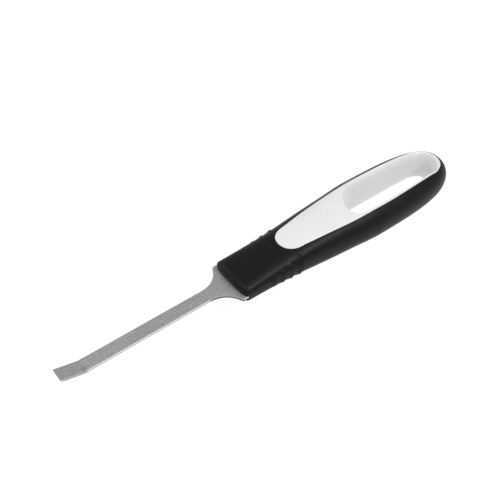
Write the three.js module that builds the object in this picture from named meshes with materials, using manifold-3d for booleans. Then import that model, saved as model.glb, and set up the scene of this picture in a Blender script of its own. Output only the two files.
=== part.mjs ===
// Farrier's hoof knife: a flat steel blade with an upturned chisel tip, a hard white handle core
// moulded round its tang, and a soft black grip moulded over the core.
//
// Working frame while building: x = 0 just ahead of the grip's front face, +x towards the butt,
// z = 0 at mid thickness of the blade. The finished group is moved so that its origin is the
// centre of the base of its bounding box. All dimensions are in millimetres.

import * as THREE from "three";
import { mergeVertices } from "three/addons/utils/BufferGeometryUtils.js";
import Module from "manifold-3d";

const wasm = await Module();
wasm.setup();

// ---- driving dimensions ----------------------------------------------------------------

const GAP = 0.3; // clearance modelled between touching pieces

const HANDLE = {
  frontX: 0.42,
  rearX: 122,
  // [x, half width] and [x, half height] from the front to the fullest section
  widths: [[0, 11], [25, 11.15], [49, 13.05], [72, 15.05]],
  heights: [[0, 4.6], [25, 7], [48, 9.45], [71, 10.8]],
  tailWidthPower: 3.07, // superellipse powers of the butt, seen from above and from the side
  tailHeightPower: 4.2,
  frontSquareness: 3.2, // superellipse power of the section at the front
  rearSquareness: 2.25, // and from squarenessX back
  squarenessX: 60,
  bowDepth: 2, // the front face bows forward in plan: how far it reaches back at the sides
  bowPower: 4,
  bowFlat: 0.02, // depth of the bow's curve that its flat middle takes
  rollDepth: 3, // the front edge rolls down to the face: over this length, by this height
  rollDrop: 1.5,
};

const RIDGES = {
  count: 4,
  firstX: 16,
  spacing: 4.5,
  height: 0.55,
  halfBase: 1.1,
  firstReach: 0.5, // share of the side's height that the front ridge covers
  reachStep: 0.12, // each ridge behind it covers this much more
  fade: 0.2,
};

// White panel, seen from above, as [x, half width] from front to rear.
const PANEL_OUTLINE = [
  [26, 0], [27.1, 3.8], [30.2, 6.1], [36, 7], [46, 8.2], [62, 9.65], [77, 10.1],
  [92, 9.75], [106, 8.8], [112.6, 7.9], [117.2, 5], [118.8, 0],
];
// Slot at mid height, seen from above. Both of its ends are a little oblique, so the outline goes
// all the way round: from the front along the +y side to the rear, and back along the -y side.
const SLOT_OUTLINE = [
  [64.1, 0], [65.8, 2.4], [68.5, 4.8], [72, 6.2], [77, 6.6], [92, 6.55], [105, 6.3], [113, 5.3], [115.9, 2.9],
  [116.2, 0], [112.6, -5.3], [104, -6.8], [92, -7.3], [77, -7.4], [69.5, -7.1], [64.5, -6.3], [62.6, -3.6],
];

// How far the slot walls roll outwards between mid height and the rim.
const SLOT_FLARE = { front: 2, side: 2.5, rear: 2.1 };

// Hidden body of the core: its ends, and how far it lies under the outside of the grip.
const CORE = { frontX: 7, rearX: 118.4, sideInset: 2.6, faceInset: 2.2 };

const BLADE = {
  thickness: 1.25,
  shankHalfWidth: 3.05,
  shoulderHalfWidth: 10.95,
  shoulderFilletRadius: 11,
  shoulderFilletX: -11.2,
  shoulderFilletTurn: 66, // degrees
  shoulderCornerRadius: 1,
  shoulderCornerX: 0.2,
  shoulderRearX: 4.2,
  tangHalfWidth: 5.2,
  tangEndX: 52,
  tangCorner: 1, // chamfer at the end of the tang
  bendX: -67.3,
  bendRadius: 6,
  tipAngle: 16, // degrees, upwards
  tipLength: 11.35, // from the bend line to the edge, along the strip
  grindLength: 1.6, // of the chisel bevel on the underside
  edgeThickness: 0.3,
};
// Holes that lock the tang: the core's plastic runs through them.
const TANG_HOLES = { firstX: 17, spacing: 12.5, count: 3, radius: 2.1, length: 4 };

const SECTION_SIDES = 52; // facets round the handle
const PANEL_SIDES = 72; // facets round the panel's edge
const SLOT_SIDES = 56; // facets round the slot
const HOLE_SIDES = 20; // facets round a tang hole
const FILLET_STEPS = 8; // facets of a shoulder's fillet
const CORE_STATIONS = 26; // steps along the hidden body of the core
const OVERSHOOT = 4; // how far cutting shapes run past what they cut

// ---- small helpers ---------------------------------------------------------------------

function toManifold(geometry) {
  const bare = geometry.clone();
  bare.deleteAttribute("normal");
  bare.deleteAttribute("uv");
  const merged = mergeVertices(bare, 1e-4);
  return new wasm.Manifold(new wasm.Mesh({
    numProp: 3,
    vertProperties: new Float32Array(merged.attributes.position.array),
    triVerts: new Uint32Array(merged.index.array),
  }));
}

function toGeometry(manifold) {
  const mesh = manifold.getMesh();
  const geometry = new THREE.BufferGeometry();
  const positions = [];
  for (let i = 0; i < mesh.numVert; i += 1) {
    positions.push(...mesh.vertProperties.slice(i * mesh.numProp, i * mesh.numProp + 3));
  }
  geometry.setAttribute("position", new THREE.Float32BufferAttribute(positions, 3));
  geometry.setIndex(Array.from(mesh.triVerts));
  geometry.computeVertexNormals();
  return geometry;
}

// Closed solid through a list of rings with equal point counts; both ends are capped with a fan.
function loft(rings) {
  const sides = rings[0].length;
  const positions = rings.flat(2);
  const index = [];
  for (let r = 0; r + 1 < rings.length; r += 1) {
    for (let k = 0; k < sides; k += 1) {
      const a = r * sides + k;
      const b = r * sides + ((k + 1) % sides);
      index.push(a, b, a + sides, b, b + sides, a + sides);
    }
  }
  const centreOf = (ring) => [0, 1, 2].map((axis) => ring.reduce((sum, p) => sum + p[axis], 0) / sides);
  const first = positions.length / 3;
  positions.push(...centreOf(rings[0]), ...centreOf(rings[rings.length - 1]));
  const lastRing = (rings.length - 1) * sides;
  for (let k = 0; k < sides; k += 1) {
    const next = (k + 1) % sides;
    index.push(first, next, k);
    index.push(first + 1, lastRing + k, lastRing + next);
  }
  const geometry = new THREE.BufferGeometry();
  geometry.setAttribute("position", new THREE.Float32BufferAttribute(positions, 3));
  geometry.setIndex(index);
  return geometry;
}

function linearSteps(from, to, count) {
  return Array.from({ length: count + 1 }, (_, i) => from + ((to - from) * i) / count);
}

// Smooth curve through [x, value] stations.
function smoothThrough(stations) {
  const curve = new THREE.SplineCurve(stations.map(([x, value]) => new THREE.Vector2(x, value)));
  const samples = curve.getPoints(400);
  return (x) => {
    const i = Math.max(1, samples.findIndex((p) => p.x >= x));
    const [a, b] = [samples[i - 1], samples[i]];
    return a.y + ((b.y - a.y) * (x - a.x)) / (b.x - a.x);
  };
}

// Whole outline in plan from its +y half, given as [x, half width] from front to rear.
function withMirror(half) {
  return [...half, ...half.slice(1, -1).reverse().map(([x, y]) => [x, -y])];
}

// Smooth closed curve through [x, y] points, as evenly spaced points.
function smoothLoop(outline, count) {
  const points = outline.map(([x, y]) => new THREE.Vector3(x, y, 0));
  return new THREE.CatmullRomCurve3(points, true, "centripetal").getSpacedPoints(count).slice(0, count);
}

function outwardNormals(outline) {
  return outline.map((_, i) => {
    const before = outline[(i + outline.length - 1) % outline.length];
    const after = outline[(i + 1) % outline.length];
    return new THREE.Vector3(before.y - after.y, after.x - before.x, 0).normalize();
  });
}

function panelPrism(grow) {
  const outline = smoothLoop(withMirror(PANEL_OUTLINE), PANEL_SIDES);
  const normals = outwardNormals(outline);
  const reach = maxHalfHeight + OVERSHOOT;
  const ringAt = (z) => outline.map((p, i) => [p.x + normals[i].x * grow, p.y + normals[i].y * grow, z]);
  return toManifold(loft([ringAt(reach), ringAt(-reach)]));
}

// ---- outer shape of the handle ---------------------------------------------------------

function bowedWidth(width, depth) {
  const t = Math.min(1, (depth + HANDLE.bowFlat) / HANDLE.bowDepth);
  return width * (1 - (1 - t) ** 2) ** (1 / HANDLE.bowPower);
}

function rolledHeight(height, depth) {
  return height - HANDLE.rollDrop * Math.max(0, 1 - depth / HANDLE.rollDepth) ** 2;
}

// Half size of the handle along x: a smooth curve to the peak, shaped near the front face by
// atFront, then a superelliptic tail down to nothing at the butt.
function profile(stations, atFront, tailPower) {
  const [peakX, peak] = stations[stations.length - 1];
  const beyondPeak = [peakX + 20, peak]; // makes the curve run level into the peak
  const curve = smoothThrough([...stations, beyondPeak]);
  return (x) => {
    if (x >= peakX) {
      const t = (x - peakX) / (HANDLE.rearX - peakX);
      return peak * Math.max(0, 1 - t ** tailPower) ** (1 / tailPower);
    }
    return atFront(curve(x), x - HANDLE.frontX);
  };
}

const maxHalfHeight = HANDLE.heights[HANDLE.heights.length - 1][1];
const halfWidth = profile(HANDLE.widths, bowedWidth, HANDLE.tailWidthPower);
const halfHeight = profile(HANDLE.heights, rolledHeight, HANDLE.tailHeightPower);

function squareness(x) {
  const t = Math.min(1, x / HANDLE.squarenessX);
  return HANDLE.frontSquareness + (HANDLE.rearSquareness - HANDLE.frontSquareness) * t;
}

function surfaceHeight(x, y) {
  const power = squareness(x);
  return halfHeight(x) * Math.max(0, 1 - (Math.abs(y) / halfWidth(x)) ** power) ** (1 / power);
}

function section(x, width, height, bulge) {
  const power = 2 / squareness(x);
  const curved = (value) => Math.sign(value) * Math.abs(value) ** power;
  return Array.from({ length: SECTION_SIDES }, (_, k) => {
    const angle = (2 * Math.PI * (k + 0.5)) / SECTION_SIDES;
    const y = curved(Math.cos(angle));
    const z = curved(Math.sin(angle));
    return [x, y * (width + bulge(z)), z * height];
  });
}

// Extra half width given by ridge number i at x, for a point at the relative height z.
function ridgeBulge(i, x, z) {
  const away = (x - RIDGES.firstX - i * RIDGES.spacing) / RIDGES.halfBase;
  const reach = RIDGES.firstReach + i * RIDGES.reachStep;
  const height = RIDGES.height * Math.max(0, 1 - away ** 2);
  return height * THREE.MathUtils.clamp((reach - Math.abs(z)) / RIDGES.fade, 0, 1);
}

function allRidges(x, z) {
  return Array.from({ length: RIDGES.count }, (_, i) => ridgeBulge(i, x, z)).reduce((a, b) => a + b);
}

function handleStations() {
  const front = [0, 0.06, 0.2, 0.5, 1, 1.5, 2, 3, 5.5, 10].map((depth) => HANDLE.frontX + depth);
  const ridges = [];
  for (let i = 0; i < RIDGES.count; i += 1) {
    const x = RIDGES.firstX + i * RIDGES.spacing;
    ridges.push(...[-1, -0.6, 0, 0.6, 1].map((part) => x + part * RIDGES.halfBase));
  }
  const lastX = HANDLE.rearX;
  const butt = [18, 14, 10.5, 7.5, 5, 3.1, 1.8, 0.9, 0.3, 0.05].map((left) => lastX - left);
  return [...front, ...ridges, ...linearSteps(36, 100, 12), ...butt];
}

function handleSolid(withRidges) {
  const rings = handleStations().map((x) => {
    const bulge = withRidges ? (z) => allRidges(x, z) : () => 0;
    return section(x, halfWidth(x), halfHeight(x), bulge);
  });
  return toManifold(loft(rings));
}

// ---- slot and hidden shapes ------------------------------------------------------------

function slotCutter() {
  const outline = smoothLoop(SLOT_OUTLINE, SLOT_SIDES);
  const normals = outwardNormals(outline);
  const flares = normals.map((n) => {
    const endFlare = n.x > 0 ? SLOT_FLARE.rear : SLOT_FLARE.front;
    return SLOT_FLARE.side + (endFlare - SLOT_FLARE.side) * n.x ** 2;
  });
  const rim = outline.map((p, i) => surfaceHeight(p.x + normals[i].x * flares[i], p.y + normals[i].y * flares[i]));
  const ringAt = (degrees, lift) => outline.map((p, i) => {
    const angle = THREE.MathUtils.degToRad(degrees);
    const out = flares[i] * (1 - Math.cos(angle));
    return [p.x + normals[i].x * out, p.y + normals[i].y * out, rim[i] * Math.sin(angle) + lift];
  });
  const levels = [90, 78, 62, 42, 20, 0, -20, -42, -62, -78, -90];
  const rings = levels.map((degrees) => ringAt(degrees, 0));
  return toManifold(loft([ringAt(90, OVERSHOOT), ...rings, ringAt(-90, -OVERSHOOT)]));
}

function coreBody(grow) {
  const stations = linearSteps(CORE.frontX - grow, CORE.rearX + grow, CORE_STATIONS);
  const none = () => 0;
  const rings = stations.map((x) => {
    const width = halfWidth(x) - CORE.sideInset + grow;
    return section(x, width, halfHeight(x) - CORE.faceInset + grow, none);
  });
  return toManifold(loft(rings));
}

// ---- blade -----------------------------------------------------------------------------

// [x, half width] stations from the bend to the end of the tang.
function bladePlan(grow) {
  const plan = [[BLADE.bendX, BLADE.shankHalfWidth + grow]];
  const { shoulderFilletX: cx, shoulderFilletRadius: r, shankHalfWidth: w } = BLADE;
  for (const degrees of linearSteps(0, BLADE.shoulderFilletTurn, FILLET_STEPS)) {
    const angle = THREE.MathUtils.degToRad(degrees);
    plan.push([cx + (r - grow) * Math.sin(angle), w + r - (r - grow) * Math.cos(angle)]);
  }
  const corner = BLADE.shoulderCornerRadius + grow;
  const cornerX = BLADE.shoulderCornerX;
  const cornerY = BLADE.shoulderHalfWidth - BLADE.shoulderCornerRadius;
  for (const degrees of [30, 60, 90]) {
    const angle = THREE.MathUtils.degToRad(degrees);
    plan.push([cornerX - corner * Math.cos(angle), cornerY + corner * Math.sin(angle)]);
  }
  plan.push([BLADE.shoulderRearX + grow, BLADE.shoulderHalfWidth + grow]);
  plan.push([BLADE.shoulderRearX + grow, BLADE.tangHalfWidth + grow]);
  plan.push([BLADE.tangEndX - BLADE.tangCorner + grow, BLADE.tangHalfWidth + grow]);
  plan.push([BLADE.tangEndX + grow, BLADE.tangHalfWidth - BLADE.tangCorner + grow]);
  return plan;
}

const TIP_ANGLE = THREE.MathUtils.degToRad(BLADE.tipAngle);
const BEND_ARC = BLADE.bendRadius * TIP_ANGLE; // length of the strip that the bend takes

// Ring of the strip at distance s beyond the bend line, measured along its mid line.
function tipRing(s) {
  const angle = TIP_ANGLE;
  const turned = Math.min(s / BLADE.bendRadius, angle);
  const straight = Math.max(0, s - BEND_ARC);
  const midX = BLADE.bendX - BLADE.bendRadius * Math.sin(turned) - straight * Math.cos(angle);
  const midZ = BLADE.bendRadius * (1 - Math.cos(turned)) + straight * Math.sin(angle);
  const ground = Math.max(0, 1 - (BLADE.tipLength - s) / BLADE.grindLength);
  const upper = BLADE.thickness / 2;
  const lower = upper - BLADE.thickness + (BLADE.thickness - BLADE.edgeThickness) * ground;
  const at = (offset, y) => [midX + offset * Math.sin(turned), y, midZ + offset * Math.cos(turned)];
  const w = BLADE.shankHalfWidth;
  return [at(upper, w), at(upper, -w), at(lower, -w), at(lower, w)];
}

function bladeSolid(grow) {
  const half = BLADE.thickness / 2 + grow;
  const flat = bladePlan(grow).map(([x, w]) => [[x, w, half], [x, -w, half], [x, -w, -half], [x, w, -half]]);
  const bend = [1, 0.75, 0.5, 0.25].map((share) => share * BEND_ARC);
  const distances = [BLADE.tipLength, BLADE.tipLength - BLADE.grindLength, ...bend];
  const tip = grow > 0 ? [] : distances.map(tipRing);
  return toManifold(loft([...tip, ...flat]));
}

function tangPins(radius) {
  const pins = [];
  for (let i = 0; i < TANG_HOLES.count; i += 1) {
    const geometry = new THREE.CylinderGeometry(radius, radius, TANG_HOLES.length, HOLE_SIDES);
    geometry.rotateX(Math.PI / 2);
    geometry.translate(TANG_HOLES.firstX + i * TANG_HOLES.spacing, 0, 0);
    pins.push(toManifold(geometry));
  }
  return pins;
}

// ---- the three pieces ------------------------------------------------------------------

function makeBlade() {
  return tangPins(TANG_HOLES.radius).reduce((blade, hole) => blade.subtract(hole), bladeSolid(0));
}

function makeCore() {
  const panel = handleSolid(false).intersect(panelPrism(0));
  const pocketed = coreBody(0).add(panel).subtract(bladeSolid(GAP));
  const pinned = tangPins(TANG_HOLES.radius - GAP).reduce((core, pin) => core.add(pin), pocketed);
  return pinned.subtract(slotCutter());
}

function makeGrip() {
  return handleSolid(true)
    .subtract(coreBody(GAP))
    .subtract(panelPrism(GAP))
    .subtract(bladeSolid(GAP));
}

function mesh(name, manifold, colour, roughness, metalness) {
  const material = new THREE.MeshStandardMaterial({ color: colour, roughness, metalness });
  material.name = name;
  const piece = new THREE.Mesh(toGeometry(manifold), material);
  piece.name = name;
  return piece;
}

const group = new THREE.Group();
group.name = "hoof_knife";
group.add(mesh("blade", makeBlade(), 0x9d9b98, 0.45, 1.0));
group.add(mesh("handle_core", makeCore(), 0xf0f0f2, 0.3, 0.0));
group.add(mesh("soft_grip", makeGrip(), 0x222222, 0.7, 0.0));

// Move the origin to the centre of the base of the bounding box.
const box = new THREE.Box3().setFromObject(group);
const centre = box.getCenter(new THREE.Vector3());
for (const piece of group.children) {
  piece.geometry.translate(-centre.x, -centre.y, -box.min.z);
}

export default group;
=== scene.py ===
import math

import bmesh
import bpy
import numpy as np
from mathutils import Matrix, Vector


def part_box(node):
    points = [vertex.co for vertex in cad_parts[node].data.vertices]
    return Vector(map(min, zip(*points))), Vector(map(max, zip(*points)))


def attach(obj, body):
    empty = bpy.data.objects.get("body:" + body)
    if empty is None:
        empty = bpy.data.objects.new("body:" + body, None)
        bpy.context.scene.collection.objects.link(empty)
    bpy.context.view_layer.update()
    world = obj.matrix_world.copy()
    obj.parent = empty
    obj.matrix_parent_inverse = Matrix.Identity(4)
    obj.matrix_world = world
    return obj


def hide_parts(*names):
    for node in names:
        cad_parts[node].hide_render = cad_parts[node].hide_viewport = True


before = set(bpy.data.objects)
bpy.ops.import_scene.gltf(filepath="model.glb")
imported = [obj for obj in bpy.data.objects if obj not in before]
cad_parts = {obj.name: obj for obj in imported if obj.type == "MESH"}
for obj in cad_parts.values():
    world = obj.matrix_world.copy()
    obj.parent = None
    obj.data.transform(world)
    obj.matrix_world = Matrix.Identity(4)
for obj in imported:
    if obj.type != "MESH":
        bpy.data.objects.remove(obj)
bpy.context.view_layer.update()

# A farrier's hoof knife: a flat steel blade with an upturned chisel tip, a glossy white handle
# core moulded round its tang, and a soft black grip moulded over the core.
#
# Shapes are worked out in millimetres in a working frame: x = 0 just ahead of the grip's front
# face, +x towards the butt, z = 0 at mid thickness of the blade. to_row() moves them into the
# frame's metres. The grip's outside is symmetric, so one quarter of it is made and mirrored. The
# slot's ends are oblique, so the white core is whole in plan and mirrored only top to bottom.

GRIP_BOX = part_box("soft_grip")
MM = 0.001

# ---- driving dimensions, in millimetres --------------------------------------------------

HANDLE_FRONT_X = 0.42
HANDLE_REAR_X = HANDLE_FRONT_X + (GRIP_BOX[1].x - GRIP_BOX[0].x) / MM
HANDLE_HALF_WIDTH = GRIP_BOX[1].y / MM
# (x, half width) and (x, half height) from the front to the fullest section
WIDTH_STATIONS = [(0, 11), (25, 11.15), (49, 13.05), (72, HANDLE_HALF_WIDTH)]
HEIGHT_STATIONS = [(0, 4.6), (25, 7), (48, 9.44), (71, 10.76)]
TAIL_WIDTH_POWER = 3.07  # superellipse powers of the butt, seen from above and from the side
TAIL_HEIGHT_POWER = 4.2
FRONT_SQUARENESS = 3.2  # superellipse power of the section at the front
REAR_SQUARENESS = 2.25  # and from SQUARENESS_X back
SQUARENESS_X = 60.0
BOW_DEPTH = 2.0  # the front face bows forward in plan: how far it reaches back at the sides
BOW_POWER = 4
BOW_FLAT = 0.02  # depth of the bow's curve that its flat middle takes
ROLL_DEPTH = 3.0  # the front edge rolls down to the face: over this length, by this height
ROLL_DROP = 1.5

# White panel from above, as (x, half width). The slot's ends are oblique, so its outline goes all
# the way round: along the +y side to the rear, and back along the -y side.
PANEL_OUTLINE = [
    (26, 0), (27.1, 3.8), (30.2, 6.1), (36, 7), (46, 8.2), (62, 9.65), (77, 10.1),
    (92, 9.75), (106, 8.8), (112.6, 7.9), (117.2, 5), (118.8, 0),
]
SLOT_OUTLINE = [
    (64.1, 0), (65.8, 2.4), (68.5, 4.8), (72, 6.2), (77, 6.6), (92, 6.55), (105, 6.3), (113, 5.3),
    (115.9, 2.9), (116.2, 0), (112.6, -5.3), (104, -6.8), (92, -7.3), (77, -7.4), (69.5, -7.1),
    (64.5, -6.3), (62.6, -3.6),
]
SLOT_REAR = SLOT_OUTLINE.index((116.2, 0))
SLOT_FLARE_FRONT = 2.0  # how far the slot's walls roll outwards up to the rim
SLOT_FLARE_SIDE = 2.5
SLOT_FLARE_REAR = 2.1
SLOT_RIM_LAND = 0.3  # least width of white left between the slot's roll and the seam

RIDGE_COUNT = 4
RIDGE_FIRST_X = 16.0
RIDGE_SPACING = 4.5
# height of a finger ridge over the grip's side, as (x from the ridge's line, height)
RIDGE_PROFILE = [(-2.6, 0), (-1.6, 0.12), (-0.25, 0.52), (0, 0.5), (0.35, -0.25), (0.6, -0.25), (1.1, 0)]
RIDGE_FIRST_REACH = 0.5  # share of the side's height that the front ridge covers
RIDGE_REACH_STEP = 0.12  # each ridge behind it covers this much more
RIDGE_FADE = 0.2

# hidden body of the core: its ends, and how far it lies under the outside of the grip
CORE_FRONT_X = 7.0
CORE_REAR_X = 118.4
CORE_SIDE_INSET = 2.6
CORE_FACE_INSET = 2.2

BLADE_THICKNESS = 1.25
SHANK_HALF_WIDTH = 3.05
SHOULDER_HALF_WIDTH = 10.95
SHOULDER_FILLET_RADIUS = 11.0
SHOULDER_FILLET_X = -11.2
SHOULDER_FILLET_TURN = 66  # degrees
SHOULDER_CORNER_RADIUS = 1.0
SHOULDER_CORNER_X = 0.2
SHOULDER_REAR_X = 4.2
SHOULDER_REAR_CHAMFER = (0.3, 0.15)  # along the blade and across it
TANG_STEP = 0.02  # lean of the step down to the tang, so that the outline never doubles back
TANG_HALF_WIDTH = 5.2
TANG_END_X = 52.0
TANG_CORNER = 1.0  # chamfer at the end of the tang
BEND_X = -67.3
BEND_RADIUS = 6.0
TIP_ANGLE = math.radians(16)
TIP_LENGTH = 11.33
TIP_CORNER = 0.5
GRIND_LENGTH = 1.6  # of the chisel bevel on the underside
EDGE_THICKNESS = 0.3
BLADE_EDGE_ROUND = 0.13
EDGE_SPLIT = 0.58  # share of a cut side's height, from below, that the shearing left rough
BEND_DARK_SPOT = (-67.8, -1.6, 0.6)  # middle of a dark spot on the upper face at the bend
DARK_SPOT_CORE_RADIUS = 0.2
DARK_SPOT_RADIUS = 1.3
DARK_SPOT_MIDDLE = -0.7  # below 0, so that the middle of the dark spot is wholly dark
EDGE_FACE_SLOPE = 0.8  # faces whose normal's z is under this belong to the cut sides
TANG_HOLE_X = [17.0, 29.5, 42.0]
TANG_HOLE_RADIUS = 2.1
PIN_HALF_LENGTH = 2.0

SEAM = 0.04  # clearance shown between moulded pieces
CORE_EDGE_ROUND = 0.15  # rounding of the white panel's edge at the seam
GRIP_EDGE_ROUND = 0.3  # rounding of the black lip at the seam
BLADE_SLIT_GAP = 0.3  # room for the blade in the grip's front face
PLUG_MARGIN = 1.2  # how far the slot's cutter reaches past the slot's wall
PLUG_HALF_HEIGHT = 15.0
JOIN_X = 24.5  # where the grip's front part meets the part around the panel
FINE_FRONT_X = 13.0  # ahead of here the grip's sections lie closer and closer together
FINE_FRONT_POWER = 2.5
SEAM_FAN_POWER = 2.3  # crowds the grip's rows towards its outline

# where outlines are cut into stretches, and the points given to each, so that they match up
RING_FAR_CUTS = (71, 108)
RING_NEAR_CUTS = (66, 108)
RING_STEPS = (110, 70, 50)
SEAM_CUTS = (29.6, 37, 109)
SILHOUETTE_CUTS = (33, 111)
JOIN_STEPS = 60
GRIP_STEPS = (JOIN_STEPS, 48, 140, 60)
LOOP_STEPS = 80  # points of a smooth curve between two given points

BOTH_SIDES = [(1, 1, 1), (1, -1, 1)]
TOP_AND_UNDERSIDE = [(1, 1, 1), (1, 1, -1)]
ALL_QUARTERS = [(1, 1, 1), (1, -1, 1), (1, 1, -1), (1, -1, -1)]

ORIGIN_X = GRIP_BOX[0].x - HANDLE_FRONT_X * MM
BLADE_MID_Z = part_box("blade")[0].z + BLADE_THICKNESS * MM / 2


def to_row(points):
    return np.asarray(points) * MM + (ORIGIN_X, 0, BLADE_MID_Z)


# ---- curves ------------------------------------------------------------------------------


def hermite(start, end, start_slope, end_slope, steps):
    t = np.linspace(0, 1, steps, endpoint=False)[:, None]
    return (
        start * (1 + 2 * t) * (1 - t) ** 2
        + start_slope * t * (1 - t) ** 2
        + end * t**2 * (3 - 2 * t)
        + end_slope * t**2 * (t - 1)
    )


def smooth_through(stations):
    """Catmull-Rom curve through (x, value) stations, as a function of x."""
    p = np.array([stations[0], *stations, stations[-1]], float)
    parts = [
        hermite(p[i], p[i + 1], (p[i + 1] - p[i - 1]) / 2, (p[i + 2] - p[i]) / 2, LOOP_STEPS)
        for i in range(1, len(p) - 2)
    ]
    curve = np.vstack([*parts, p[-1]])
    return lambda x: np.interp(x, curve[:, 0], curve[:, 1])


def mirrored(half):
    """Whole outline from its +y half, which runs from front to rear."""
    return [*half, *((x, -y) for x, y in reversed(half[1:-1]))]


def smooth_loop(outline):
    """Closed centripetal Catmull-Rom curve, with LOOP_STEPS points from each given point on."""
    points = np.array(outline, float)
    parts = []
    for i in range(len(points)):
        p0, p1, p2, p3 = (points[(i + k) % len(points)] for k in (-1, 0, 1, 2))
        d0, d1, d2 = (math.sqrt(math.dist(a, b)) for a, b in ((p0, p1), (p1, p2), (p2, p3)))
        start_slope = ((p1 - p0) / d0 - (p2 - p0) / (d0 + d1) + (p2 - p1) / d1) * d1
        end_slope = ((p2 - p1) / d1 - (p3 - p1) / (d1 + d2) + (p3 - p2) / d2) * d1
        parts.append(hermite(p1, p2, start_slope, end_slope, LOOP_STEPS))
    return np.vstack(parts)


def two_halves(outline, rear):
    """The +y and -y halves of a smooth loop, each from its first point to point number rear."""
    loop = smooth_loop(outline)
    cut = rear * LOOP_STEPS
    return loop[: cut + 1], np.vstack([loop[cut:], loop[:1]])[::-1]


def split_at(curve, *places):
    """Cuts a curve where it first reaches each x, into stretches that share their end points."""
    cuts = [0, *(int(np.argmax(curve[:, 0] >= x)) for x in places), len(curve) - 1]
    return [curve[a : b + 1] for a, b in zip(cuts, cuts[1:])]


def spread(curve, count):
    """count points spaced evenly along a curve, from its start and stopping short of its end."""
    lengths = np.r_[0, np.cumsum(np.linalg.norm(np.diff(curve, axis=0), axis=1))]
    wanted = np.linspace(0, lengths[-1], count, endpoint=False)
    return np.column_stack([np.interp(wanted, lengths, column) for column in curve.T])


def chain(stretches, counts):
    """Points along several joined curves, with so many steps on each."""
    parts = [spread(curve, count) for curve, count in zip(stretches, counts)]
    return np.vstack([*parts, stretches[-1][-1]])


def loop_normals(loop):
    """Outward normals of a closed outline that runs along its +y side first."""
    along = np.roll(loop, -1, axis=0) - np.roll(loop, 1, axis=0)
    along /= np.linalg.norm(along, axis=1)[:, None]
    return np.column_stack([-along[:, 1], along[:, 0]])


def half_normals(half):
    """Outward normals of the +y half of a symmetric outline."""
    loop = np.vstack([half, half[-2:0:-1] * (1, -1)])
    return loop_normals(loop)[: len(half)]


# ---- outer shape of the handle -----------------------------------------------------------


def bowed_width(width, depth):
    t = np.clip((depth + BOW_FLAT) / BOW_DEPTH, 0, 1)
    return width * (1 - (1 - t) ** 2) ** (1 / BOW_POWER)


def rolled_height(height, depth):
    return height - ROLL_DROP * np.maximum(0, 1 - depth / ROLL_DEPTH) ** 2


def profile(stations, at_front, tail_power):
    """Half size along x: curve to the peak, shaped by at_front, then a superelliptic tail."""
    peak_x, peak = stations[-1]
    curve = smooth_through([*stations, (peak_x + 20, peak)])

    def half_size(x):
        x = np.asarray(x, float)
        t = np.clip((x - peak_x) / (HANDLE_REAR_X - peak_x), 0, 1)
        tail = peak * (1 - t**tail_power) ** (1 / tail_power)
        return np.where(x >= peak_x, tail, at_front(curve(x), x - HANDLE_FRONT_X))

    return half_size


half_width = profile(WIDTH_STATIONS, bowed_width, TAIL_WIDTH_POWER)
half_height = profile(HEIGHT_STATIONS, rolled_height, TAIL_HEIGHT_POWER)


def squareness(x):
    share = np.clip(np.asarray(x) / SQUARENESS_X, 0, 1)
    return FRONT_SQUARENESS + (REAR_SQUARENESS - FRONT_SQUARENESS) * share


def surface_height(x, y):
    power = squareness(x)
    share = np.clip(np.abs(y) / np.maximum(half_width(x), 1e-9), 0, 1)
    return half_height(x) * (1 - share**power) ** (1 / power)


def ridge_bulge(points):
    """Extra half width that the finger ridges give at points of the grip's outside."""
    x, z = points[..., 0], points[..., 2]
    level = np.abs(z) / np.maximum(half_height(x), 1e-9)
    bulge = np.zeros_like(x)
    for i in range(RIDGE_COUNT):
        away = x - RIDGE_FIRST_X - i * RIDGE_SPACING
        height = np.interp(away, *zip(*RIDGE_PROFILE))
        reach = RIDGE_FIRST_REACH + i * RIDGE_REACH_STEP
        fade = np.clip((reach - level) / RIDGE_FADE, 0, 1)
        bulge += height * fade * fade * (3 - 2 * fade)
    return bulge


# ---- meshes ------------------------------------------------------------------------------


def make_object(name, mesh):
    piece = bpy.data.objects.new(name, mesh)
    bpy.context.scene.collection.objects.link(piece)
    return piece


def weld(mesh):
    bm = bmesh.new()
    bm.from_mesh(mesh)
    bmesh.ops.remove_doubles(bm, verts=bm.verts, dist=1e-6)
    bmesh.ops.dissolve_degenerate(bm, edges=bm.edges, dist=1e-7)
    bmesh.ops.recalc_face_normals(bm, faces=bm.faces)
    bm.to_mesh(mesh)
    bm.free()


def solid(name, patches, mirrors):
    """Closed mesh from grids of points. Every grid is repeated by the mirrors, then welded."""
    points, faces, first = [], [], 0
    for patch in patches:
        rows, columns = patch.shape[:2]
        corner = np.arange(rows * columns).reshape(rows, columns)
        quads = np.stack(
            [corner[:-1, :-1], corner[1:, :-1], corner[1:, 1:], corner[:-1, 1:]], axis=-1
        )
        for mirror in mirrors:
            points.append((patch * mirror).reshape(-1, 3))
            faces.append(quads.reshape(-1, 4) + first)
            first += rows * columns
    mesh = bpy.data.meshes.new(name)
    mesh.from_pydata(to_row(np.vstack(points)).tolist(), [], np.vstack(faces).tolist())
    weld(mesh)
    return make_object(name, mesh)


def combine(base, operation, tool):
    """Joins tool to base or cuts it away, and removes tool.

    When base or tool isn't closed, Blender only logs a warning and base stays as it was.
    """
    modifier = base.modifiers.new(operation, "BOOLEAN")
    modifier.operation = operation
    modifier.solver = "MANIFOLD"
    modifier.object = tool
    graph = bpy.context.evaluated_depsgraph_get()
    mesh = bpy.data.meshes.new_from_object(base.evaluated_get(graph), depsgraph=graph)
    base.modifiers.clear()
    mesh.name = base.name
    base.data = mesh
    bpy.data.objects.remove(tool)
    return base


def disc_to_centre(ring, steps):
    """Rows that close a flat ring of points towards its centre on the axis."""
    centre = ring * (1, 0, 0)
    return np.stack([centre + (ring - centre) * (1 - k / steps) for k in range(steps + 1)])


# ---- handle core -------------------------------------------------------------------------


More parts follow.
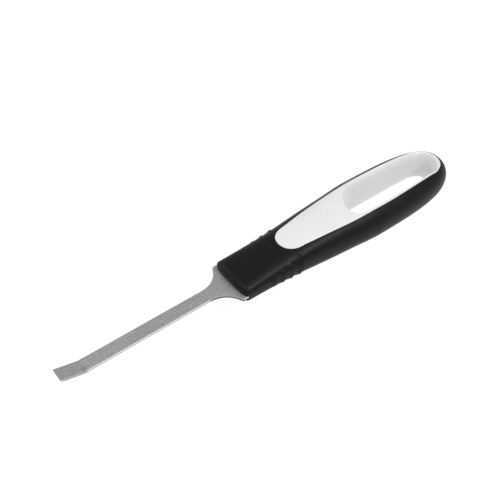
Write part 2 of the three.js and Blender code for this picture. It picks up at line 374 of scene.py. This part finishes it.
def matched_loops():
    """Panel and slot outlines with as many points, facing each other across the white rim."""
    panel_rear = len(PANEL_OUTLINE) - 1
    loops = []
    for outline, rear in ((mirrored(PANEL_OUTLINE), panel_rear), (SLOT_OUTLINE, SLOT_REAR)):
        far, near = two_halves(outline, rear)
        far = chain(split_at(far, *RING_FAR_CUTS), RING_STEPS)
        near = chain(split_at(near, *RING_NEAR_CUTS), RING_STEPS)
        loops.append(np.vstack([far, near[-2:0:-1]]))
    return loops


def lift(plan, z):
    return np.column_stack([plan, np.broadcast_to(z, len(plan))])


def closed(patch):
    """Repeats the first column at the end, so that the grid goes all the way round."""
    return np.concatenate([patch, patch[:, :1]], axis=1)


def panel_ring_patch():
    """Upper half of the visible core: seam wall, panel face, slot rim and slot wall."""
    panel, slot = matched_loops()
    panel_out = loop_normals(panel)
    slot_out = loop_normals(slot)
    end_flare = np.where(slot_out[:, 0] > 0, SLOT_FLARE_REAR, SLOT_FLARE_FRONT)
    flare = SLOT_FLARE_SIDE + (end_flare - SLOT_FLARE_SIDE) * slot_out[:, 0] ** 2
    room = np.linalg.norm(panel - slot, axis=1) - SLOT_RIM_LAND
    flare = np.minimum(flare, room)[:, None]
    rim = slot + slot_out * flare
    rim_height = surface_height(*rim.T)

    rows = [lift(panel, 0)]
    for degrees in (0, 30, 60, 90):
        angle = math.radians(degrees)
        inner = panel - panel_out * CORE_EDGE_ROUND * (1 - math.cos(angle))
        rows.append(lift(inner, surface_height(*inner.T) - CORE_EDGE_ROUND * (1 - math.sin(angle))))
    edge = panel - panel_out * CORE_EDGE_ROUND
    for share in np.linspace(0, 1, 20)[1:]:
        plan = edge + (rim - edge) * share
        rows.append(lift(plan, surface_height(*plan.T)))
    for degrees in range(85, -1, -5):
        angle = math.radians(degrees)
        plan = slot + slot_out * flare * (1 - math.cos(angle))
        rows.append(lift(plan, rim_height * math.sin(angle)))
    return closed(np.stack(rows))


def body_patches(grow):
    """Quarter of the hidden body of the core, which lies under the grip."""
    angles = np.linspace(0, math.pi / 2, 40)
    rows = []
    for x in np.linspace(CORE_FRONT_X - grow, CORE_REAR_X + grow, 120):
        power = 2 / squareness(x)
        y = (half_width(x) - CORE_SIDE_INSET + grow) * np.cos(angles).clip(0) ** power
        z = (half_height(x) - CORE_FACE_INSET + grow) * np.sin(angles) ** power
        rows.append(np.column_stack([np.full_like(y, x), y, z]))
    loft = np.stack(rows)
    return [disc_to_centre(loft[0], 4)[::-1], loft, disc_to_centre(loft[-1], 4)]


def slot_plug():
    """Prism through the slot, wide enough to end inside the solid rim of the panel ring."""
    slot = spread(smooth_loop(SLOT_OUTLINE), 240)
    plan = slot + loop_normals(slot) * PLUG_MARGIN
    top = lift(plan, PLUG_HALF_HEIGHT)
    centre = np.broadcast_to(top.mean(axis=0), top.shape)
    return solid("slot_plug", [closed(np.stack([centre, top, lift(plan, 0)]))], TOP_AND_UNDERSIDE)


def tang_pin(x, radius, half_length):
    """Round pin through the blade's plane."""
    angles = np.linspace(0, math.pi, 33)
    ring = np.column_stack([x - radius * np.cos(angles), radius * np.sin(angles)])
    top = lift(ring, half_length)
    centre = np.broadcast_to([x, 0.0, half_length], top.shape)
    return solid("tang_pin", [np.stack([centre, top, lift(ring, 0)])], ALL_QUARTERS)


def make_core():
    body = solid("core_body", body_patches(0), ALL_QUARTERS)
    combine(body, "DIFFERENCE", slot_plug())
    core = solid("handle_core.moulding", [panel_ring_patch()], TOP_AND_UNDERSIDE)
    combine(core, "UNION", body)
    combine(core, "DIFFERENCE", blade_plate("tang_pocket", SEAM, SEAM, 0))
    for x in TANG_HOLE_X:
        combine(core, "UNION", tang_pin(x, TANG_HOLE_RADIUS - SEAM, PIN_HALF_LENGTH))
    return core


# ---- soft grip ---------------------------------------------------------------------------


def grip_edges():
    """Seam outline in plan and the edge that it fans out to: join section, then silhouette."""
    y = half_width(JOIN_X) * np.sin(np.linspace(0, math.pi / 2, 400))
    join = np.column_stack([np.full_like(y, JOIN_X), y, surface_height(JOIN_X, y)])
    turn = np.linspace(0, math.pi / 2, 1200)
    x = JOIN_X + (HANDLE_REAR_X - JOIN_X) * np.sin(turn)
    side = np.column_stack([x, half_width(x), np.zeros_like(x)])
    join[-1] = side[0]
    side[-1] = (HANDLE_REAR_X, 0, 0)
    half_panel = two_halves(mirrored(PANEL_OUTLINE), len(PANEL_OUTLINE) - 1)[0]
    seam = chain(split_at(half_panel, *SEAM_CUTS), GRIP_STEPS)
    rim = chain([join, *split_at(side, *SILHOUETTE_CUTS)], GRIP_STEPS)
    return seam, rim


def grip_patches():
    """Quarter of the grip's outside: panel opening, body, front part and front face."""
    seam, rim = grip_edges()
    out = half_normals(seam)
    wall = seam + out * SEAM
    rows = [lift(wall, 0)]
    for degrees in (0, 22.5, 45, 67.5, 90):
        angle = math.radians(degrees)
        plan = wall + out * GRIP_EDGE_ROUND * (1 - math.cos(angle))
        rows.append(lift(plan, surface_height(*plan.T) - GRIP_EDGE_ROUND * (1 - math.sin(angle))))
    edge = wall + out * GRIP_EDGE_ROUND
    for share in np.linspace(0, 1, 33)[1:-1]:
        plan = edge + (rim[:, :2] - edge) * (1 - (1 - share) ** SEAM_FAN_POWER)
        rows.append(lift(plan, surface_height(*plan.T)))
    rows.append(rim)
    around_panel = np.stack(rows)

    join = rim[: JOIN_STEPS + 1]
    share = join[:, 1] / half_width(JOIN_X)
    nearness = np.linspace(1, 0, 44) ** FINE_FRONT_POWER
    near_front = HANDLE_FRONT_X + (FINE_FRONT_X - HANDLE_FRONT_X) * nearness
    stations = np.r_[np.linspace(JOIN_X, FINE_FRONT_X, 70, endpoint=False), near_front]
    rows = [join]
    for x in stations[1:]:
        y = share * half_width(x)
        z = surface_height(x, y)
        z[-1] = 0
        rows.append(np.column_stack([np.full_like(y, x), y, z]))
    front = np.stack(rows)
    for patch in (around_panel, front):
        patch[..., 1] += ridge_bulge(patch) * (patch[..., 1] > 0.5)
    return [around_panel, front, disc_to_centre(front[-1], 16)]


def make_grip():
    grip = solid("soft_grip.overmould", grip_patches(), ALL_QUARTERS)
    combine(grip, "DIFFERENCE", solid("core_room", body_patches(SEAM), ALL_QUARTERS))
    combine(grip, "DIFFERENCE", blade_plate("blade_slit", BLADE_SLIT_GAP, SEAM, 0))
    return grip


# ---- blade -------------------------------------------------------------------------------


def blade_outline(grow):
    """(x, half width) from the end of the tip to the end of the tang, as a flat blank."""
    points = []
    tip_x = BEND_X - TIP_LENGTH - grow
    for degrees in (0, 30, 60, 90):
        angle = math.radians(degrees)
        inset = TIP_CORNER * (1 - math.sin(angle))
        points.append((tip_x + TIP_CORNER * (1 - math.cos(angle)), SHANK_HALF_WIDTH + grow - inset))
    # stations along the straight sides, closer together at the grind and at the bend
    ground = np.linspace(tip_x + 0.8, BEND_X - TIP_LENGTH + GRIND_LENGTH, 5)
    beyond = np.linspace(BEND_X - TIP_LENGTH + GRIND_LENGTH + 1, BEND_X - 2.5, 8)
    bend = np.linspace(BEND_X - 1.8, BEND_X + 0.2, 16)
    shank = np.linspace(BEND_X + 1.5, SHOULDER_FILLET_X - 1, 40)
    for x in (*ground, *beyond, *bend, *shank):
        points.append((x, SHANK_HALF_WIDTH + grow))
    radius = SHOULDER_FILLET_RADIUS - grow
    for degrees in np.linspace(0, SHOULDER_FILLET_TURN, 25):
        angle = math.radians(degrees)
        y = SHANK_HALF_WIDTH + SHOULDER_FILLET_RADIUS - radius * math.cos(angle)
        points.append((SHOULDER_FILLET_X + radius * math.sin(angle), y))
    corner = SHOULDER_CORNER_RADIUS + grow
    for degrees in np.linspace(90 - SHOULDER_FILLET_TURN, 90, 7):
        angle = math.radians(degrees)
        x = SHOULDER_CORNER_X - corner * math.cos(angle)
        y = SHOULDER_HALF_WIDTH - SHOULDER_CORNER_RADIUS + corner * math.sin(angle)
        points.append((x, y))
    chamfer_x, chamfer_y = SHOULDER_REAR_CHAMFER
    points.append((SHOULDER_REAR_X - chamfer_x, SHOULDER_HALF_WIDTH + grow))
    points.append((SHOULDER_REAR_X + grow, SHOULDER_HALF_WIDTH + grow - chamfer_y))
    points.append((SHOULDER_REAR_X + grow + TANG_STEP, TANG_HALF_WIDTH + grow))
    for x in np.linspace(SHOULDER_REAR_X + 1, TANG_END_X - TANG_CORNER, 24):
        points.append((x + grow, TANG_HALF_WIDTH + grow))
    points.append((TANG_END_X + grow, TANG_HALF_WIDTH + grow - TANG_CORNER))
    return np.array(points)


def bent(points):
    """Turns the part of a flat blank beyond the bend line upwards."""
    x, y, z = np.moveaxis(points, -1, 0)
    beyond = np.maximum(0, BEND_X - x)
    turned = np.minimum(beyond / BEND_RADIUS, TIP_ANGLE)
    straight = beyond - turned * BEND_RADIUS
    mid_x = BEND_X - BEND_RADIUS * np.sin(turned) - straight * math.cos(TIP_ANGLE)
    mid_z = BEND_RADIUS * (1 - np.cos(turned)) + straight * math.sin(TIP_ANGLE)
    curled = np.stack([mid_x + z * np.sin(turned), y, mid_z + z * np.cos(turned)], axis=-1)
    return np.where((x < BEND_X)[..., None], curled, points)


def blade_plate(name, grow, grow_thickness, edge_round):
    """The bent blade, with rounded long edges when edge_round isn't 0.

    Known fault: the middle row of each end lies at half height, but the sides have theirs at
    EDGE_SPLIT. The mesh has open edges there, so combine() makes none of the cuts in the blade
    or with it: the tang holes, the tang pocket in the core and the blade slit in the grip.
    """
    outline = blade_outline(grow)
    along = np.gradient(outline, axis=0)
    along /= np.linalg.norm(along, axis=1)[:, None]
    out = np.column_stack([-along[:, 1], along[:, 0]])
    top = BLADE_THICKNESS / 2 + grow_thickness
    grind_start = BEND_X - TIP_LENGTH + GRIND_LENGTH
    ground = np.clip((grind_start - outline[:, 0]) / GRIND_LENGTH, 0, 1)
    bottom = -top + (BLADE_THICKNESS - EDGE_THICKNESS) * ground
    radius = np.minimum(edge_round, 0.3 * (top - bottom))[:, None]
    columns = []

    def column(inset, across, height):
        plan = outline - out * inset
        columns.append(np.column_stack([plan[:, 0], plan[:, 1] * across, height]))

    r = radius[:, 0]
    for across in np.linspace(0, 1, 9):
        column(radius, across, np.full(len(outline), top))
    for degrees in (67.5, 45, 22.5, 0):
        angle = math.radians(degrees)
        column(radius * (1 - math.cos(angle)), 1, top - r * (1 - math.sin(angle)))
    column(radius * 0, 1, bottom + (top - bottom) * EDGE_SPLIT)
    for degrees in (0, 22.5, 45, 67.5):
        angle = math.radians(degrees)
        column(radius * (1 - math.cos(angle)), 1, bottom + r * (1 - math.sin(angle)))
    for across in np.linspace(1, 0, 9):
        column(radius, across, bottom)
    skin = bent(np.stack(columns, axis=1))
    ends = []
    for ring in (skin[0], skin[-1]):
        half = len(ring) // 2
        upper, lower = ring[:half], ring[-half:][::-1]
        ends.append(np.stack([upper + (lower - upper) * k / 2 for k in range(3)]))
    return solid(name, [skin, *ends], BOTH_SIDES)


def make_blade():
    blade = blade_plate("blade.forged", 0, 0, BLADE_EDGE_ROUND)
    for x in TANG_HOLE_X:
        combine(blade, "DIFFERENCE", tang_pin(x, TANG_HOLE_RADIUS, PIN_HALF_LENGTH))
    return blade


# The blade's finishes, one of them partly painted highlight and one painted shade, in the order in which
# blade_materials() lists them.
BLASTED, BURNISHED_AND_HIGHLIGHT, SHEARED, PAINTED_SHADE = range(4)


def paint_blade_edges(mesh):
    """Gives the cut sides of the blade their own finishes: on the shank a burnished upper band, whose light
    tone is partly painted highlight, over a sheared lower band; the bent tip sheared all over; from the
    shoulder fillet back, painted shade on the lower half.
    """
    flat = np.linspace(BEND_X - TIP_LENGTH, TANG_END_X, 400)
    middle = to_row(bent(np.column_stack([flat, flat * 0, flat * 0])))
    split_height = (EDGE_SPLIT - 0.5) * BLADE_THICKNESS * MM
    bend, fillet_start, fillet_end = to_row([[x, 0, 0] for x in (BEND_X, SHOULDER_FILLET_X, 0)])[:, 0]
    for face in mesh.polygons:
        x, _, z = face.center
        if abs(face.normal.z) > EDGE_FACE_SLOPE:
            continue
        above = z > np.interp(x, middle[:, 0], middle[:, 2]) + split_height
        if x < bend:
            face.material_index = SHEARED
        elif x <= fillet_start:
            face.material_index = BURNISHED_AND_HIGHLIGHT if above else SHEARED
        # painted shade: from the shoulder fillet back, the lower half of the cut sides is near-black steel
        elif not above:
            face.material_index = PAINTED_SHADE
        else:
            face.material_index = BURNISHED_AND_HIGHLIGHT if x > fillet_end else BLASTED


# ---- materials ---------------------------------------------------------------------------

# darker and lighter tone of each moulded material
WHITE_PLASTIC_TONES = ((0.625, 0.625, 0.633), (0.655, 0.655, 0.66))
BLACK_GRIP_TONES = ((0.0034, 0.0034, 0.0036), (0.0044, 0.0044, 0.0046))
STREAK_SHARE = 0.35  # how much the streaks along the strip count beside its fine grain


def new_material(name):
    material = bpy.data.materials.new(name)
    material.use_nodes = True
    nodes = material.node_tree.nodes
    shader = nodes["Principled BSDF"] if "Principled BSDF" in nodes else nodes.new("ShaderNodeBsdfPrincipled")
    return material, shader


def add_noise(material, scale, detail, stretch=(1, 1, 1)):
    """Noise in the object's own millimetres. Returns its value socket."""
    nodes, links = material.node_tree.nodes, material.node_tree.links
    place = nodes.new("ShaderNodeTexCoord")
    mapping = nodes.new("ShaderNodeMapping")
    mapping.inputs["Scale"].default_value = [s / MM for s in stretch]
    noise = nodes.new("ShaderNodeTexNoise")
    noise.inputs["Scale"].default_value = scale
    noise.inputs["Detail"].default_value = detail
    links.new(place.outputs["Object"], mapping.inputs["Vector"])
    links.new(mapping.outputs["Vector"], noise.inputs["Vector"])
    return noise.outputs["Fac"]


def ramp(material, value, low, high, from_value=0.3, to_value=0.7):
    """Maps a value to a range of numbers."""
    nodes, links = material.node_tree.nodes, material.node_tree.links
    mapper = nodes.new("ShaderNodeMapRange")
    mapper.inputs["From Min"].default_value = from_value
    mapper.inputs["From Max"].default_value = to_value
    mapper.inputs["To Min"].default_value = low
    mapper.inputs["To Max"].default_value = high
    links.new(value, mapper.inputs["Value"])
    return mapper.outputs["Result"]


def blend_colours(material, value, first, second):
    nodes, links = material.node_tree.nodes, material.node_tree.links
    mix = nodes.new("ShaderNodeMix")
    mix.data_type = "RGBA"
    mix.inputs["A"].default_value = (*first, 1)
    mix.inputs["B"].default_value = (*second, 1)
    links.new(value, mix.inputs["Factor"])
    return mix.outputs["Result"]


def add_bump(material, shader, value, depth_mm):
    nodes, links = material.node_tree.nodes, material.node_tree.links
    bump = nodes.new("ShaderNodeBump")
    bump.inputs["Strength"].default_value = 1
    bump.inputs["Distance"].default_value = depth_mm * MM
    links.new(value, bump.inputs["Height"])
    links.new(bump.outputs["Normal"], shader.inputs["Normal"])


def calculate(material, operation, first, second):
    """Joins two value sockets, or a socket and a number, with one sum."""
    nodes, links = material.node_tree.nodes, material.node_tree.links
    node = nodes.new("ShaderNodeMath")
    node.operation = operation
    for socket, value in zip(node.inputs, (first, second)):
        if isinstance(value, (int, float)):
            socket.default_value = value
        else:
            links.new(value, socket)
    return node.outputs["Value"]


def away_from(material, spot):
    """Distance in millimetres from a spot of the working frame."""
    nodes, links = material.node_tree.nodes, material.node_tree.links
    place = nodes.new("ShaderNodeTexCoord")
    distance = nodes.new("ShaderNodeVectorMath")
    distance.operation = "DISTANCE"
    distance.inputs[1].default_value = to_row(spot).tolist()
    links.new(place.outputs["Object"], distance.inputs[0])
    return calculate(material, "DIVIDE", distance.outputs["Value"], MM)


def steel_material(name, dark, light, rough_low, rough_high, grain_depth):
    """Blasted steel: fine speckle, faint streaks along the strip, and a dark spot on the upper face at the
    bend.
    """
    material, shader = new_material(name)
    links = material.node_tree.links
    grain = add_noise(material, 1.7, 4)
    streaks = add_noise(material, 1.6, 2, (0.06, 1, 1))
    clouds = add_noise(material, 0.12, 4, (1, 2, 2))
    speckle = calculate(material, "ADD", grain, calculate(material, "MULTIPLY", streaks, STREAK_SHARE))
    shade = ramp(material, speckle, 0, 1, 0.45, 0.9)
    dark_spot = ramp(
        material, away_from(material, BEND_DARK_SPOT), DARK_SPOT_MIDDLE, 1, DARK_SPOT_CORE_RADIUS, DARK_SPOT_RADIUS
    )
    shade = calculate(material, "MULTIPLY", shade, dark_spot)
    shader.inputs["Metallic"].default_value = 1
    links.new(blend_colours(material, shade, dark, light), shader.inputs["Base Color"])
    links.new(ramp(material, clouds, rough_low, rough_high), shader.inputs["Roughness"])
    add_bump(material, shader, grain, grain_depth)
    return material


def blade_materials():
    return [
        steel_material("blasted_steel", (0.3, 0.293, 0.289), (0.47, 0.461, 0.457), 0.52, 0.60, 0.01),
        # burnished band of the cut sides: its light tone, brighter than the steel's own colour, is partly
        # painted highlight
        steel_material("burnished_edge_and_painted_highlight", (0.78, 0.775, 0.77), (0.9, 0.895, 0.89), 0.3, 0.4, 0.003),
        steel_material("sheared_edge", (0.4, 0.392, 0.388), (0.5, 0.492, 0.488), 0.45, 0.6, 0.02),
        # painted shade: near-black steel for the lower half of the cut sides from the shoulder fillet back
        steel_material("shoulder_painted_shade", (0.02, 0.0195, 0.019), (0.05, 0.049, 0.048), 0.5, 0.65, 0.02),
    ]


def plastic_material():
    material, shader = new_material("white_plastic")
    links = material.node_tree.links
    clouds = add_noise(material, 0.05, 3)
    fine = add_noise(material, 1.5, 2)
    colour = blend_colours(material, ramp(material, clouds, 0, 1), *WHITE_PLASTIC_TONES)
    links.new(colour, shader.inputs["Base Color"])
    links.new(ramp(material, fine, 0.14, 0.2), shader.inputs["Roughness"])
    shader.inputs["IOR"].default_value = 1.5
    add_bump(material, shader, fine, 0.0015)
    return material


def rubber_material():
    material, shader = new_material("black_soft_grip")
    links = material.node_tree.links
    grain = add_noise(material, 4.0, 3)
    clouds = add_noise(material, 0.15, 3)
    colour = blend_colours(material, ramp(material, clouds, 0, 1), *BLACK_GRIP_TONES)
    links.new(colour, shader.inputs["Base Color"])
    links.new(ramp(material, clouds, 0.38, 0.43), shader.inputs["Roughness"])
    shader.inputs["Specular IOR Level"].default_value = 0.145
    add_bump(material, shader, grain, 0.012)
    return material


def finish_piece(piece, materials, smooth_angle):
    weld(piece.data)
    piece.data.materials.clear()
    for material in materials:
        piece.data.materials.append(material)
    piece.data.shade_smooth()
    piece.data.set_sharp_from_angle(angle=math.radians(smooth_angle))


# ---- stage, light and camera -------------------------------------------------------------

FLOOR_HALF_SIZE = 3.0  # metres
FLOOR_DROP = 0.0002  # metres below the object
FLOOR_TONE = 0.08
FLOOR_GLOW = 0.95  # the floor shines, for an even white background without shadows
WORLD_STRENGTH = 0.68
LIGHT_DISTANCE = 0.9  # metres
# name, azimuth and elevation in degrees, side in metres, watts
LIGHTS = [
    ("far_left", -150, 30, 0.35, 1.0),
    ("left", -90, 58, 0.35, 1.9),
    ("front_right", 28, 48, 0.2, 2.7),
    ("overhead", 20, 70, 0.35, 1.0),
]
CAMERA_AIM = (18.42, 9.36, 0)  # working frame
CAMERA_AZIMUTH = math.radians(-37.205)
CAMERA_ELEVATION = math.radians(46.915)
CAMERA_DISTANCE = 340.56
CAMERA_LENS = 57.6
CAMERA_SENSOR = 36.0
HALF_PIXEL = 0.5 / 500  # share of the picture's width


def direction(azimuth, elevation):
    """Unit vector away from the object: azimuth 0 is towards -Y, and 90 degrees towards +X."""
    flat = math.cos(elevation)
    return Vector((math.sin(azimuth) * flat, -math.cos(azimuth) * flat, math.sin(elevation)))


def make_camera():
    data = bpy.data.cameras.new("camera")
    data.lens = CAMERA_LENS
    data.sensor_width = CAMERA_SENSOR
    data.shift_x = -HALF_PIXEL
    data.shift_y = HALF_PIXEL
    data.clip_start = 0.01
    camera = make_object("camera", data)
    back = direction(CAMERA_AZIMUTH, CAMERA_ELEVATION)
    camera.location = Vector(to_row(CAMERA_AIM)) + back * CAMERA_DISTANCE * MM
    camera.rotation_mode = "QUATERNION"
    camera.rotation_quaternion = (-back).to_track_quat("-Z", "Y")
    bpy.context.scene.camera = camera


def make_area_light(name, azimuth, elevation, side, power):
    data = bpy.data.lights.new(name, "AREA")
    data.shape = "RECTANGLE"
    data.size, data.size_y = side, side
    data.energy = power
    light = make_object(name, data)
    back = direction(math.radians(azimuth), math.radians(elevation))
    light.location = back * LIGHT_DISTANCE
    light.rotation_mode = "QUATERNION"
    light.rotation_quaternion = (-back).to_track_quat("-Z", "Y")


def make_floor():
    size = FLOOR_HALF_SIZE
    corners = [(-size, -size, 0), (size, -size, 0), (size, size, 0), (-size, size, 0)]
    mesh = bpy.data.meshes.new("floor")
    mesh.from_pydata(corners, [], [(0, 1, 2, 3)])
    floor = make_object("floor", mesh)
    floor.location.z = -FLOOR_DROP
    material, shader = new_material("floor_white")
    shader.inputs["Base Color"].default_value = (FLOOR_TONE, FLOOR_TONE, FLOOR_TONE, 1)
    shader.inputs["Roughness"].default_value = 1
    shader.inputs["Specular IOR Level"].default_value = 0
    shader.inputs["Emission Color"].default_value = (1, 1, 1, 1)
    shader.inputs["Emission Strength"].default_value = FLOOR_GLOW
    mesh.materials.append(material)


def make_world():
    world = bpy.data.worlds.new("studio")
    world.use_nodes = True
    background = world.node_tree.nodes["Background"]
    background.inputs["Color"].default_value = (1, 1, 1, 1)
    background.inputs["Strength"].default_value = WORLD_STRENGTH
    bpy.context.scene.world = world
    bpy.context.scene.view_settings.view_transform = "Standard"


# ---- assembly ----------------------------------------------------------------------------


def place(piece, node):
    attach(piece, "root")
    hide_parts(node)


make_camera()
make_world()
make_floor()
for light in LIGHTS:
    make_area_light(*light)

blade = make_blade()
finish_piece(blade, blade_materials(), 50)
paint_blade_edges(blade.data)
place(blade, "blade")

core = make_core()
finish_piece(core, [plastic_material()], 50)
place(core, "handle_core")

grip = make_grip()
finish_piece(grip, [rubber_material()], 50)
place(grip, "soft_grip")
